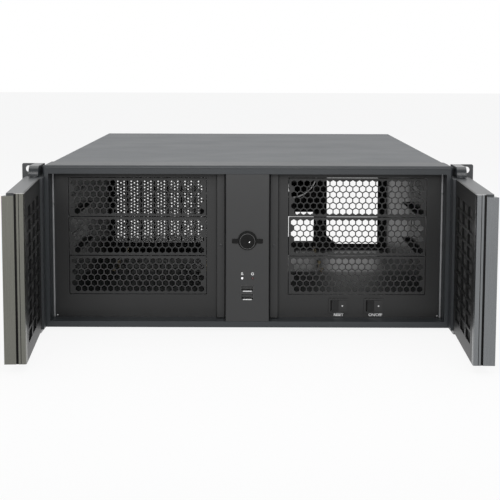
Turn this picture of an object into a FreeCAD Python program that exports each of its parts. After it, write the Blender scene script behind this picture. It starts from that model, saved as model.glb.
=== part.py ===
"""An empty 4U rackmount server case with two vented front doors, in millimetres.

X points right seen from the front, Y into the case and Z up. The origin lies on the
underside, midway between the sides, in the plane of the rack ears' front faces.
Both doors stand open. Each piece is an object with its own name and becomes one file.
"""
import FreeCAD
import Part
import Sketcher
import math
import operator
import os
from types import SimpleNamespace

SIZES = {
    # rack panel and ears
    "ear_show": 24.8,
    "rack_slot_margin": 8.75,
    "rack_slot_inset": 5.95,
    "rack_slot_length": 10.3,
    "rack_slot_width": 7.0,
    "ear_sheet": 2.5,
    "ear_corner": 1.6,
    "ear_flange_depth": 60.0,
    "ear_flange_low": 6.0,
    "ear_flange_high": 158.0,
    # steel body and lid
    "body_width": 424.0,
    "case_depth": 652.0,
    "steel": 1.2,
    "plate_front": -1.0,
    "underside_reach": 3.0,
    "cage_flange_gap": 2.8,
    "rear_flange": 6.5,
    "cover_lap": 15.0,
    "cover_bend": 1.1,
    "fit_gap": 0.3,
    # front frame
    "frame_step": 4.5,
    "frame_reach": 28.0,
    "frame_lap": 28.0,
    "frame_skin": 3.0,
    "frame_corner": 4.0,
    "jamb": 6.8,
    "sill_low": 4.4,
    "sill_high": 10.8,
    "head_depth": 9.0,
    "lip_radius": 2.8,
    "lip_groove": 0.7,
    "bead_width": 2.7,
    "bead_reach": 2.4,
    "bead_radius": 1.1,
    # drive bays
    "plate_gap": 3.9,
    "bay_share": 0.3737,
    "bay_width": 148.0,
    "bay_low": 35.8,
    "cover_height": 42.1,
    "bay_count": 3,
    "bay_head": 14.9,
    "bay_gap": 0.2,
    "bay_return": 5.0,
    "hole_columns": 8,
    "hole_rows": 3,
    "hole_pitch": 17.6,
    "hole_row_pitch": 12.6,
    "hole_across": 11.4,
    "cage_sheet": 1.0,
    "cage_depth": 172.0,
    "ledge_width": 9.0,
    "ledge_front_gap": 10.0,
    "ledge_rear_gap": 5.0,
    "cage_slot_first": 30.0,
    "cage_slot_step": 120.0,
    "cage_slot_count": 1,
    "cage_slot_length": 114.0,
    "cage_slot_height": 5.0,
    # centre column
    "column_width": 47.0,
    "column_wall": 2.0,
    "column_edge": 1.4,
    "column_opening": 40.0,
    "column_opening_low": 28.0,
    "column_opening_high": 119.0,
    "strip_inner": 23.7,
    "strip_outer": 33.5,
    "strip_reach": 8.5,
    "strip_wall": 1.5,
    # lock
    "lock_height": 97.0,
    "lock_barrel_radius": 9.25,
    "lock_core_radius": 7.8,
    "lock_clearance": 0.05,
    "lock_ring_reach": 2.6,
    "lock_barrel_depth": 12.0,
    "lock_wing_span": 32.6,
    "lock_wing_height": 4.5,
    "lock_wing_reach": 1.6,
    "key_slot_width": 1.6,
    "key_slot_height": 9.0,
    "key_slot_depth": 6.0,
    "cam_length": 30.0,
    "cam_width": 9.0,
    "cam_sheet": 2.0,
    "cam_stub_radius": 3.0,
    "cam_stub_end": 1.0,
    # front sockets and lamps
    "usb_upper_height": 46.6,
    "usb_lower_height": 37.7,
    "usb_width": 13.8,
    "usb_height": 6.6,
    "usb_wall": 0.5,
    "usb_depth": 13.5,
    "usb_lip": 0.4,
    "lamp_height": 57.3,
    "lamp_offset": 5.5,
    "lamp_width": 2.2,
    "board_width": 34.0,
    "board_low": 30.0,
    "board_high": 66.0,
    "board_sheet": 1.6,
    "board_tab": 4.0,
    "usb_tongue_setback": 1.0,
    # rocker switches
    "reset_place": 98.2,
    "power_place": 136.5,
    "switch_height": 23.9,
    "bezel_width": 20.3,
    "bezel_rise": 15.5,
    "bezel_reach": 2.4,
    "switch_body_width": 18.6,
    "switch_body_rise": 13.6,
    "switch_body_depth": 15.0,
    "well_width": 16.9,
    "well_rise": 12.3,
    "well_depth": 9.0,
    "rocker_width": 15.9,
    "rocker_rise": 12.0,
    "rocker_reach": 4.6,
    "rocker_dip": 1.3,
    "rocker_tilt": 8.0,
    "rocker_pivot_depth": 1.0,
    "rocker_flank": 1.0,
    "trunnion_radius": 1.0,
    "trunnion_length": 0.5,
    "trunnion_end_gap": 0.1,
    "terminal_sheet": 0.8,
    "terminal_width": 4.8,
    "terminal_length": 9.0,
    # doors
    "pivot_step": 6.3,
    "pivot_reach": 38.75,
    "door_thickness": 19.5,
    "door_gap": 1.05,
    "door_clearance": 0.7,
    "door_wall": 1.5,
    "door_corner": 6.0,
    "stile_width": 31.75,
    "stile_step": 2.5,
    "grille_sheet": 2.0,
    "door_edge_width": 8.25,
    "window_columns": 3,
    "window_rows": 10,
    "shell_window_rows": 5,
    "window_margin_along": 18.0,
    "window_margin_low": 15.0,
    "window_margin_high": 15.5,
    "window_bar_along": 9.0,
    "window_bar_up": 2.5,
    "lip_reach": 3.5,
    "lip_face": 11.0,
    "lip_slope": 15.0,
    "lip_drop": 2.0,
    "channel_width": 2.2,
    "channel_depth": 3.0,
    "edge_rib": 2.0,
    "edge_groove": 0.6,
    "edge_bevel": 3.2,
    "left_open_angle": 86.4,
    "right_open_angle": 88.0,
    "pin_radius": 2.0,
    "pin_clearance": 0.05,
    "pin_hold": 14.0,
    "pin_reach": 5.0,
    # hinge arms
    "arm_width": 10.0,
    "arm_reach": 46.0,
    "arm_top_height": 10.8,
    "arm_bottom_high": 6.8,
    "arm_radius": 9.0,
    "arm_edge": 5.0,
    # expansion slots
    "slot_count": 7,
    "slot_wall_gap": 7.0,
    "slot_pitch": 20.32,
    "slot_cover_width": 18.4,
    "slot_cover_sheet": 0.9,
    "slot_window_width": 15.0,
    "slot_window_low": 18.0,
    "slot_window_high": 127.0,
    "slot_recess": 12.4,
    "slot_ledge_height": 130.3,
    "slot_frame_low": 12.0,
    "slot_frame_high": 141.0,
    "slot_margin": 8.6,
    "slot_vent_width": 2.0,
    "slot_vent_pitch": 4.6,
    "slot_vents": 3,
    "slot_vent_margin": 2.0,
    "slot_screw_setback": 7.0,
    # rear openings
    "io_gap": 2.08,
    "io_width": 158.75,
    "io_low": 13.7,
    "io_height": 44.45,
    "psu_gap": 19.75,
    "psu_wall_gap": 12.6,
    "psu_low": 9.7,
    "psu_height": 140.3,
    "psu_chamfer": 13.5,
    # fans
    "fan_start_gap": 4.08,
    "fan_pitch": 82.0,
    "fan_height": 120.0,
    "fan_size": 80.0,
    "fan_depth": 25.0,
    "fan_corner": 4.0,
    "fan_bore": 38.2,
    "fan_arm_overlap": 0.8,
    "fan_hub": 16.0,
    "fan_hub_sheet": 3.0,
    "fan_arm_width": 4.0,
    "fan_shaft": 1.5,
    "fan_blades": 7,
    "fan_blade_tip": 35.0,
    "fan_blade_root": 1.0,
    "fan_blade_chord": 15.0,
    "fan_blade_rise": 11.5,
    "fan_blade_sheet": 1.4,
    "fan_blade_sweep": 6.5,
    "guard_inner": 14.0,
    "guard_outer": 36.5,
    "guard_bar": 3.0,
    # fasteners
    "standoff_radius": 2.9,
    "standoff_height": 6.5,
    "board_hole_edge": 0.45,
    "board_hole_rear": 23.8,
    "board_column_middle": 157.48,
    "board_column_far": 281.94,
    "board_row_middle": 154.94,
    "board_row_far": 227.33,
    "screw_head_radius": 3.4,
    "screw_head_height": 1.6,
    "cover_screw_first": 120.0,
    "cover_screw_step": 220.0,
    "cover_screw_count": 3,
    "ear_screw_place": 44.0,
    "ear_screw_first": 24.0,
    "ear_screw_step": 38.0,
    "ear_screw_count": 4,
    # how far a cut runs past the face it opens
    "overcut": 1.0,
}

doc = FreeCAD.newDocument("ServerCase")
sheet = doc.addObject("Spreadsheet::Sheet", "Sizes")
for row, (alias, number) in enumerate(SIZES.items(), start=1):
    sheet.set("A%d" % row, alias)
    sheet.set("B%d" % row, str(number))
    sheet.setAlias("B%d" % row, alias)
doc.recompute()

SIGNS = {"+": operator.add, "-": operator.sub, "*": operator.mul, "/": operator.truediv}


class Length:
    """A size: its formula over the sheet's cells, and the number it has now."""

    def __init__(self, formula, number):
        self.formula = formula
        self.number = number

    def __add__(self, other):
        return joined(self, "+", other)

    def __radd__(self, other):
        return joined(other, "+", self)

    def __sub__(self, other):
        return joined(self, "-", other)

    def __rsub__(self, other):
        return joined(other, "-", self)

    def __mul__(self, other):
        return joined(self, "*", other)

    def __rmul__(self, other):
        return joined(other, "*", self)

    def __truediv__(self, other):
        return joined(self, "/", other)

    def __neg__(self):
        return joined(-1, "*", self)


def as_length(value):
    if isinstance(value, Length):
        return value
    return Length("(%r)" % float(value), float(value))


def joined(left, sign, right):
    left = as_length(left)
    right = as_length(right)
    formula = "(%s %s %s)" % (left.formula, sign, right.formula)
    return Length(formula, SIGNS[sign](left.number, right.number))


def number(value):
    return as_length(value).number


s = SimpleNamespace(**{alias: Length("Sizes." + alias, float(value)) for alias, value in SIZES.items()})
pieces = []

# ---------------------------------------------------------------- drawing tools

PLANE_FACING = {"XY": 1, "XZ": -1, "YZ": 1}


def rectangle(left, right, low, high, radius=None):
    """Four corners, all round where a radius is given; a slot where it is half the height."""
    corners = [(left, low), (right, low), (right, high), (left, high)]
    if radius is None:
        return corners
    return [(across, up, radius) for across, up in corners]


def square(across, up, width):
    """Four corners round a centre."""
    return rectangle(across - width / 2, across + width / 2, up - width / 2, up + width / 2)


def circle(across, up, radius):
    return SimpleNamespace(across=across, up=up, radius=radius)


class Drawing:
    """The edges of a sketch and the rules that tie them, added to it in one go."""

    def __init__(self):
        self.edges = []
        self.rules = []
        self.formulas = {}

    def edge(self, shape):
        self.edges.append(shape)
        return len(self.edges) - 1

    def rule(self, *words):
        self.rules.append(Sketcher.Constraint(*words))
        return len(self.rules) - 1

    def size(self, *words):
        """A rule whose last word is a size, bound to the sheet."""
        size = as_length(words[-1])
        self.formulas[self.rule(*words[:-1], size.number)] = size.formula

    def hold(self, edge, end, across, up):
        """Ties one end of an edge to its place, measured from the sketch's origin."""
        self.size("DistanceX", -1, 1, edge, end, across)
        self.size("DistanceY", -1, 1, edge, end, up)

    def circle(self, ring):
        centre = FreeCAD.Vector(number(ring.across), number(ring.up), 0)
        edge = self.edge(Part.Circle(centre, FreeCAD.Vector(0, 0, 1), number(ring.radius)))
        self.hold(edge, 3, ring.across, ring.up)
        self.size("Radius", edge, ring.radius)

    def corner_arc(self, corner, before, after):
        """A quarter arc in a corner; returns where it meets each side."""
        across, up, radius = corner
        into = heading(corner, before)
        out = heading(corner, after)
        reach = number(radius)
        centre = FreeCAD.Vector(
            number(across) + reach * (into[0] + out[0]), number(up) + reach * (into[1] + out[1]), 0)
        first = math.atan2(-out[1], -out[0])
        last = math.atan2(-into[1], -into[0])
        arrive_end, leave_end = 1, 2
        if (last - first) % (2 * math.pi) > math.pi:
            first, last = last, first
            arrive_end, leave_end = 2, 1
        ring = Part.Circle(centre, FreeCAD.Vector(0, 0, 1), reach)
        edge = self.edge(Part.ArcOfCircle(ring, first, last))
        arrive = (across + radius * into[0], up + radius * into[1])
        leave = (across + radius * out[0], up + radius * out[1])
        self.hold(edge, arrive_end, *arrive)
        self.hold(edge, leave_end, *leave)
        self.size("Radius", edge, radius)
        return SimpleNamespace(arrive=arrive, leave=leave, arc=edge, ends=(arrive_end, leave_end))

    def outline(self, corners):
        """A closed outline. A corner with a third value is rounded to that radius."""
        joints = []
        for index, corner in enumerate(corners):
            if len(corner) == 3:
                after = corners[(index + 1) % len(corners)]
                joints.append(self.corner_arc(corner, corners[index - 1], after))
            else:
                joints.append(SimpleNamespace(arrive=corner, leave=corner, arc=None))
        for start, end in zip(joints, joints[1:] + joints[:1]):
            here = FreeCAD.Vector(number(start.leave[0]), number(start.leave[1]), 0)
            there = FreeCAD.Vector(number(end.arrive[0]), number(end.arrive[1]), 0)
            if here.distanceToPoint(there) < 1e-4:
                continue
            edge = self.edge(Part.LineSegment(here, there))
            if start.arc is None:
                self.hold(edge, 1, *start.leave)
            else:
                self.rule("Coincident", edge, 1, start.arc, start.ends[1])
            if end.arc is None:
                self.hold(edge, 2, *end.arrive)
            else:
                self.rule("Coincident", edge, 2, end.arc, end.ends[0])

    def into(self, sketch):
        sketch.addGeometry(self.edges)
        sketch.addConstraint(self.rules)
        for rule, formula in self.formulas.items():
            sketch.setExpression("Constraints[%d]" % rule, formula)


def heading(start, end):
    """The direction from one corner to the next along an axis, as two signs."""
    across = number(end[0]) - number(start[0])
    up = number(end[1]) - number(start[1])
    if abs(across) > abs(up):
        return (math.copysign(1, across), 0)
    return (0, math.copysign(1, up))


def polygon_edges(points):
    """The sides of a repeated hole, placed by its own numbers."""
    return [
        Part.LineSegment(FreeCAD.Vector(*start, 0), FreeCAD.Vector(*end, 0))
        for start, end in zip(points, points[1:] + points[:1])]


def sketch_on(piece, plane, level, outlines, repeated=()):
    """A sketch on one of the piece's own planes, at a level along that plane's axis."""
    sketch = piece.newObject("Sketcher::SketchObject", piece.Name + "_sketch")
    base = [part for part in piece.Origin.OriginFeatures if part.Role == plane + "_Plane"][0]
    sketch.AttachmentSupport = [(base, "")]
    sketch.MapMode = "FlatFace"
    level = PLANE_FACING[plane] * as_length(level)
    sketch.setExpression(".AttachmentOffset.Base.z", level.formula)
    drawing = Drawing()
    for outline in outlines:
        if isinstance(outline, SimpleNamespace):
            drawing.circle(outline)
        else:
            drawing.outline(outline)
    drawing.into(sketch)
    if repeated:
        sketch.addGeometry(list(repeated))
    return worked_out(sketch)


def new_piece(label):
    piece = doc.addObject("PartDesign::Body", label)
    piece.Label = label
    pieces.append(piece)
    return piece


def worked_out(item):
    """Works an object out at once, so that the closing recompute needn't repeat it."""
    item.recompute()
    item.purgeTouched()
    return item


def pad(piece, plane, low, high, outlines, repeated=()):
    """Adds material between two levels along the plane's axis."""
    level = low if PLANE_FACING[plane] > 0 else high
    feature = piece.newObject("PartDesign::Pad", piece.Name + "_pad")
    feature.Profile = sketch_on(piece, plane, level, outlines, repeated)
    feature.setExpression("Length", (as_length(high) - low).formula)
    return worked_out(feature)


def pocket(piece, plane, low, high, outlines, repeated=()):
    """Cuts between two levels along the plane's axis, and makes sure that it did."""
    before = piece.Tip.Shape.Volume
    level = high if PLANE_FACING[plane] > 0 else low
    feature = piece.newObject("PartDesign::Pocket", piece.Name + "_pocket")
    feature.Profile = sketch_on(piece, plane, level, outlines, repeated)
    feature.setExpression("Length", (as_length(high) - low).formula)
    worked_out(feature)
    if not feature.Shape.Volume < before - 1e-6:
        raise ValueError(feature.Name + " cuts nothing")
    return feature


def round_edges(piece, radius, chosen):
    """Fillets the edges whose middle point passes the test."""
    base = piece.Tip
    names = []
    for index, edge in enumerate(base.Shape.Edges, start=1):
        middle = edge.CenterOfMass
        if chosen(middle, edge):
            names.append("Edge%d" % index)
    feature = piece.newObject("PartDesign::Fillet", piece.Name + "_fillet")
    feature.Base = (base, names)
    feature.setExpression("Radius", as_length(radius).formula)
    return worked_out(feature)


def place(piece, across, along, up, angle=0):
    """Puts a piece drawn about its own pivot where that pivot is, turned about Z."""
    piece.setExpression(".Placement.Base.x", as_length(across).formula)
    piece.setExpression(".Placement.Base.y", as_length(along).formula)
    piece.setExpression(".Placement.Base.z", as_length(up).formula)
    piece.setExpression(".Placement.Rotation.Angle", as_length(angle).formula)


def group(label, shapes):
    """Like fasteners that share one name."""
    piece = doc.addObject("Part::Feature", label)
    piece.Label = label
    piece.Shape = Part.makeCompound(shapes)
    pieces.append(piece)
    return piece


def rod(radius, length, start, direction):
    return Part.makeCylinder(
        number(radius), number(length), FreeCAD.Vector(*[number(value) for value in start]),
        FreeCAD.Vector(*direction))


def hexagon_bar(radius, length, start, direction):
    """A six-sided head or pillar, standing on the face at its start."""
    middle = FreeCAD.Vector(*[number(value) for value in start])
    along = FreeCAD.Vector(*direction)
    first = along.cross(FreeCAD.Vector(0, 1, 0)) * number(radius)
    corners = [middle + FreeCAD.Rotation(along, 60 * turn).multVec(first) for turn in range(7)]
    return Part.Face(Part.makePolygon(corners)).extrude(along * number(length))


def spanned(side, near, far):
    """A range across the case, mirrored for the left side."""
    return (near, far) if side > 0 else (-far, -near)


SIDES = {"left": -1, "right": 1}

# ---------------------------------------------------------------- shared places

wall_outer = s.body_width / 2 - s.steel
wall_inner = wall_outer - s.steel
frame_half = s.body_width / 2 + s.frame_step
jamb_inner = frame_half - s.jamb
plate_back = s.plate_front + s.steel
rear_inner = s.case_depth - s.steel
column_half = s.column_width / 2
bay_high = s.bay_low + s.cover_height * s.bay_count
panel_height = bay_high + s.bay_head
head_low = panel_height - s.head_depth
lid_under = panel_height - s.steel
# The bays share what the centre strip and the walls leave over.
bay_inner = s.strip_outer + (wall_inner - s.strip_outer - s.bay_width) * s.bay_share
cage_outer = bay_inner + s.bay_width + s.bay_gap + s.cage_sheet

# ---------------------------------------------------------------- steel body

# A floor and two walls folded from one sheet, with return flanges at front and rear.
chassis_tray = new_piece("chassis_tray")
pad(chassis_tray, "XZ", plate_back, rear_inner, [[
    (-wall_outer, 0), (wall_outer, 0), (wall_outer, lid_under), (wall_inner, lid_under),
    (wall_inner, s.steel), (-wall_inner, s.steel), (-wall_inner, lid_under), (-wall_outer, lid_under)]])
pad(chassis_tray, "XZ", -s.underside_reach, plate_back, [rectangle(-wall_outer, wall_outer, 0, s.steel)])
for side in SIDES.values():
    for low, high, width in (
            (plate_back, plate_back + s.steel, wall_outer - cage_outer - s.cage_flange_gap),
            (rear_inner - s.steel, rear_inner, s.rear_flange)):
        left, right = spanned(side, wall_outer - width, wall_inner)
        pad(chassis_tray, "XZ", low, high, [rectangle(left, right, s.steel, lid_under)])

# A shallow lid whose flanges lap over the walls.
top_cover = new_piece("top_cover")
lid_half = s.body_width / 2
lap_low = panel_height - s.cover_lap
pad(top_cover, "XZ", s.frame_lap + s.fit_gap, s.case_depth, [[
    (-lid_half, lap_low), (-wall_outer, lap_low), (-wall_outer, lid_under), (wall_outer, lid_under),
    (wall_outer, lap_low), (lid_half, lap_low), (lid_half, panel_height, s.cover_bend),
    (-lid_half, panel_height, s.cover_bend)]])

# The rear openings follow one another from the left wall: slots, I/O shield, power supply.
pan_left = -wall_inner + s.slot_wall_gap
slot_left = pan_left + s.steel
slot_first = slot_left + s.slot_margin
slot_right = slot_first + s.slot_pitch * (s.slot_count - 1) + s.slot_margin
pan_right = slot_right + s.steel
slot_plane = rear_inner - s.slot_recess
io_left = pan_right + s.io_gap
io_right = io_left + s.io_width
psu_left = io_right + s.psu_gap
psu_right = wall_inner - s.psu_wall_gap
psu_high = s.psu_low + s.psu_height
fan_left = pan_right + s.fan_start_gap + s.fan_size / 2
fan_right = fan_left + s.fan_pitch


def guard_openings(across, up):
    """Four stamped openings in a ring round a fan's centre, parted by a cross of bars."""
    half_bar = number(s.guard_bar) / 2
    centre = FreeCAD.Vector(number(across), number(up), 0)
    edges = []
    for quarter in range(4):
        turn = FreeCAD.Rotation(FreeCAD.Vector(0, 0, 1), 90 * quarter)
        corners = []
        for radius in (number(s.guard_inner), number(s.guard_outer)):
            reach = math.sqrt(radius ** 2 - half_bar ** 2)
            middle = radius / math.sqrt(2)
            points = [
                centre + turn.multVec(FreeCAD.Vector(*place, 0))
                for place in ((reach, half_bar), (middle, middle), (half_bar, reach))]
            edges.append(Part.Arc(*points))
            corners.append(points)
        for end in (0, 2):
            edges.append(Part.LineSegment(corners[0][end], corners[1][end]))
    return edges


# The rear wall, with openings for the slots, the I/O shield, the power supply and two fans.
rear_panel = new_piece("rear_panel")
pad(rear_panel, "XZ", rear_inner, s.case_depth, [rectangle(-wall_outer, wall_outer, 0, lid_under)])
pocket(rear_panel, "XZ", rear_inner, s.case_depth, [
    rectangle(slot_left, slot_right, s.slot_frame_low, s.slot_frame_high),
    rectangle(io_left, io_right, s.io_low, s.io_low + s.io_height),
    [(psu_left + s.psu_chamfer, s.psu_low), (psu_right, s.psu_low), (psu_right, psu_high),
     (psu_left, psu_high), (psu_left, s.psu_low + s.psu_chamfer)]])
pocket(rear_panel, "XZ", rear_inner, s.case_depth, [], [
    edge for fan_place in (fan_left, fan_right)
    for edge in guard_openings(fan_place, s.fan_height)])

# The pan behind the slot opening: walls, a pierced plate and a ledge for the bracket screws.
slot_frame = new_piece("slot_frame")
pan_low = s.slot_frame_low - s.steel
ledge_low = s.slot_ledge_height - s.steel
windows = []
for index in range(int(s.slot_count.number)):
    centre = slot_first + s.slot_pitch * index
    windows.append(rectangle(
        centre - s.slot_window_width / 2, centre + s.slot_window_width / 2,
        s.slot_window_low, s.slot_window_high))
pad(slot_frame, "XZ", slot_plane, slot_plane + s.steel,
    [rectangle(pan_left, pan_right, pan_low, s.slot_ledge_height)] + windows)
pad(slot_frame, "XZ", slot_plane + s.steel, rear_inner, [
    rectangle(pan_left, pan_right, pan_low, s.slot_ledge_height),
    rectangle(slot_left, slot_right, s.slot_frame_low, ledge_low)])

# Seven vented brackets, each with its tab bent over the ledge.
tab_end = rear_inner - s.fit_gap
for index in range(int(s.slot_count.number)):
    centre = slot_first + s.slot_pitch * index
    bracket = new_piece("slot_cover_%d" % (index + 1))
    half = s.slot_cover_width / 2
    plate_low = s.slot_frame_low + s.fit_gap
    plate_high = s.slot_ledge_height + s.slot_cover_sheet
    vents = []
    for vent in range(int(s.slot_vents.number)):
        middle = centre + s.slot_vent_pitch * (vent - (s.slot_vents - 1) / 2)
        vents.append(rectangle(
            middle - s.slot_vent_width / 2, middle + s.slot_vent_width / 2,
            s.slot_window_low + s.slot_vent_margin, s.slot_window_high - s.slot_vent_margin))
    pad(bracket, "XZ", slot_plane - s.slot_cover_sheet, slot_plane,
        [rectangle(centre - half, centre + half, plate_low, plate_high)] + vents)
    pad(bracket, "XZ", slot_plane, tab_end,
        [rectangle(centre - half, centre + half, s.slot_ledge_height, plate_high)])

# ---------------------------------------------------------------- front frame and bays

# A collar round the recess: jambs, sill and rounded head, with a skin that laps the body.
front_frame = new_piece("front_frame")
pad(front_frame, "XZ", -s.frame_reach, s.plate_front, [
    [(-frame_half, s.sill_low), (frame_half, s.sill_low),
     (frame_half, panel_height, s.frame_corner), (-frame_half, panel_height, s.frame_corner)],
    rectangle(-jamb_inner, jamb_inner, s.sill_high, head_low)])
round_edges(front_frame, s.lip_radius, lambda middle, edge: (
    middle.y < number(s.plate_front - s.frame_reach) / 2 and middle.z > number(panel_height - s.lip_radius)
    and edge.BoundBox.XLength > number(frame_half)))
groove_high = panel_height - s.lip_radius
groove_back = -s.frame_reach + s.lip_groove
pocket(front_frame, "YZ", -frame_half - s.overcut, frame_half + s.overcut, [rectangle(
    -s.frame_reach - s.overcut, groove_back, groove_high - s.lip_groove, groove_high)])
pad(front_frame, "XZ", s.plate_front, s.frame_lap, [
    rectangle(-frame_half + s.frame_corner, frame_half - s.frame_corner, lid_under, panel_height)])
for side in SIDES.values():
    skin_end = frame_half - 2 * s.frame_corner
    skin_inner = frame_half - s.frame_skin
    pad(front_frame, "XZ", s.ear_sheet + s.bay_gap, s.frame_lap, [[
        (side * frame_half, s.sill_low), (side * frame_half, panel_height, s.frame_corner),
        (side * skin_end, panel_height), (side * skin_end, lid_under),
        (side * skin_inner, lid_under), (side * skin_inner, s.sill_low)]])
    bead = [(side * jamb_inner, s.plate_front), (side * jamb_inner, s.plate_front - s.bead_reach),
            (side * (jamb_inner - s.bead_width), s.plate_front - s.bead_reach, s.bead_radius),
            (side * (jamb_inner - s.bead_width), s.plate_front)]
    pad(front_frame, "XY", s.sill_high, head_low, [bead])

# The steel plate at the back of the recess.
bay_plate = new_piece("bay_plate")
plate_openings = [rectangle(
    -s.column_opening / 2, s.column_opening / 2, s.column_opening_low, s.column_opening_high)]
for side in SIDES.values():
    left, right = spanned(side, bay_inner, bay_inner + s.bay_width)
    plate_openings.append(rectangle(left, right, s.bay_low, bay_high))
for centre in (s.reset_place, s.power_place):
    plate_openings.append(rectangle(
        centre - s.switch_body_width / 2, centre + s.switch_body_width / 2,
        s.switch_height - s.switch_body_rise / 2, s.switch_height + s.switch_body_rise / 2))
plate_half = wall_inner - s.plate_gap
pad(bay_plate, "XZ", s.plate_front, plate_back,
    [rectangle(-plate_half, plate_half, s.steel, lid_under - s.bay_gap)] + plate_openings)


def hexagons(centre, low):
    """Six-sided holes, point up, in rows that step sideways by half a pitch."""
    radius = number(s.hole_across) / math.sqrt(3)
    pitch = number(s.hole_pitch)
    rows = int(s.hole_rows.number)
    holes = []
    for row in range(rows):
        up = low + number(s.cover_height) / 2 + number(s.hole_row_pitch) * (row - (rows - 1) / 2)
        columns = int(s.hole_columns.number) - row % 2
        for column in range(columns):
            across = centre + pitch * (column - (columns - 1) / 2)
            corners = [math.pi / 3 * corner for corner in range(6)]
            holes += polygon_edges([
                (across + radius * math.sin(turn), up + radius * math.cos(turn)) for turn in corners])
    return holes


# Perforated covers, one to a bay, each with a shallow rim turned back into the opening.
for side_name, side in SIDES.items():
    left, right = spanned(side, bay_inner + s.bay_gap, bay_inner + s.bay_width - s.bay_gap)
    for index in range(int(s.bay_count.number)):
        bay_cover = new_piece("bay_cover_%s_%d" % (side_name, index + 1))
        high = bay_high - s.cover_height * index - s.bay_gap
        low = high - s.cover_height + 2 * s.bay_gap
        cover_back = plate_back - s.bay_gap
        pad(bay_cover, "XZ", cover_back - s.steel, cover_back,
            [rectangle(left, right, low, high)],
            hexagons(number(left + right) / 2, number(low - s.bay_gap)))
        pad(bay_cover, "XZ", cover_back, cover_back + s.bay_return, [
            rectangle(left, right, low, high),
            rectangle(left + s.steel, right - s.steel, low + s.steel, high - s.steel)])

# Folded cages for three drives each, on legs, with ledges between the bays.
for side_name, side in SIDES.items():
    cage = new_piece("drive_cage_" + side_name)
    near = bay_inner - s.bay_gap
    far = bay_inner + s.bay_width + s.bay_gap
    left, right = spanned(side, near, far)
    cage_low = s.bay_low - s.bay_gap
    cage_high = bay_high + s.bay_gap
    cage_back = plate_back + s.cage_depth
    thick = s.cage_sheet
    pad(cage, "XZ", plate_back, cage_back, [
        [(left - thick, s.steel), (left, s.steel), (left, cage_low - thick), (right, cage_low - thick),
         (right, s.steel), (right + thick, s.steel), (right + thick, cage_high + thick),
         (left - thick, cage_high + thick)],
        rectangle(left, right, cage_low, cage_high)])
    for level in range(1, int(s.bay_count.number)):
        up = s.bay_low + s.cover_height * level
        for wall, inner in ((left, left + s.ledge_width), (right - s.ledge_width, right)):
            pad(cage, "XZ", plate_back + s.ledge_front_gap, cage_back - s.ledge_rear_gap,
                [rectangle(wall, inner, up - thick / 2, up + thick / 2)])
    cage_slots = []
    for level in range(int(s.bay_count.number)):
        up = s.bay_low + s.cover_height * (level + 0.5)
        for place_along in range(int(s.cage_slot_count.number)):
            start = plate_back + s.cage_slot_first + s.cage_slot_step * place_along
            end = start + s.cage_slot_length
            cage_slots.append(rectangle(start, end, up - s.cage_slot_height / 2, up + s.cage_slot_height / 2))
    pocket(cage, "YZ", left - thick - s.overcut, right + thick + s.overcut, cage_slots)

# ---------------------------------------------------------------- centre column

column_low = s.sill_high + s.bay_gap
column_high = head_low - s.bay_gap
column_panel = new_piece("column_panel")
pad(column_panel, "XY", column_low, column_high, [[
    (-column_half, s.plate_front), (-column_half, -s.frame_reach, s.column_edge),
    (column_half, -s.frame_reach, s.column_edge), (column_half, s.plate_front)]])
column_inner = -s.frame_reach + s.column_wall
pocket(column_panel, "XZ", column_inner, s.plate_front, [rectangle(
    -column_half + s.column_wall, column_half - s.column_wall,
    column_low + s.column_wall, column_high - s.column_wall)])
front_holes = [circle(0, s.lock_height, s.lock_barrel_radius)]
for usb_place in (s.usb_upper_height, s.usb_lower_height):
    front_holes.append(rectangle(
        -s.usb_width / 2, s.usb_width / 2, usb_place - s.usb_height / 2, usb_place + s.usb_height / 2))
for lamp in (-s.lamp_offset, s.lamp_offset):
    front_holes.append(square(lamp, s.lamp_height, s.lamp_width))
pocket(column_panel, "XZ", -s.frame_reach, column_inner, front_holes)

for side_name, side in SIDES.items():
    strip = new_piece("column_strip_" + side_name)
    left, right = spanned(side, s.strip_inner, s.strip_outer)
    pad(strip, "XZ", -s.strip_reach, s.plate_front, [rectangle(left, right, column_low, column_high)])
    wall = s.strip_wall
    pocket(strip, "XZ", -s.strip_reach + wall, s.plate_front, [
        rectangle(left + wall, right - wall, column_low + wall, column_high - wall)])

# ---------------------------------------------------------------- lock

# The ring, its two wings and the barrel are one casting.
escutcheon = new_piece("lock_escutcheon")
core_bore = s.lock_core_radius + s.lock_clearance
barrel_end = -s.frame_reach + s.lock_barrel_depth
ring_front = -s.frame_reach - s.lock_ring_reach
pad(escutcheon, "XZ", ring_front, barrel_end, [circle(0, s.lock_height, s.lock_barrel_radius)])
pad(escutcheon, "XZ", -s.frame_reach - s.lock_wing_reach, -s.frame_reach, [rectangle(
    -s.lock_wing_span / 2, s.lock_wing_span / 2,
    s.lock_height - s.lock_wing_height / 2, s.lock_height + s.lock_wing_height / 2)])
bore = circle(0, s.lock_height, core_bore)
pocket(escutcheon, "XZ", ring_front - s.overcut, barrel_end + s.overcut, [bore])

lock_core = new_piece("lock_core")
cam_front = barrel_end + s.fit_gap
cam_back = cam_front + s.cam_sheet
pad(lock_core, "XZ", ring_front + s.fit_gap, barrel_end, [circle(0, s.lock_height, s.lock_core_radius)])
pad(lock_core, "XZ", barrel_end, cam_back + s.cam_stub_end, [circle(0, s.lock_height, s.cam_stub_radius)])
pocket(lock_core, "XZ", ring_front, ring_front + s.key_slot_depth, [rectangle(
    -s.key_slot_width / 2, s.key_slot_width / 2,
    s.lock_height - s.key_slot_height / 2, s.lock_height + s.key_slot_height / 2)])

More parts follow.
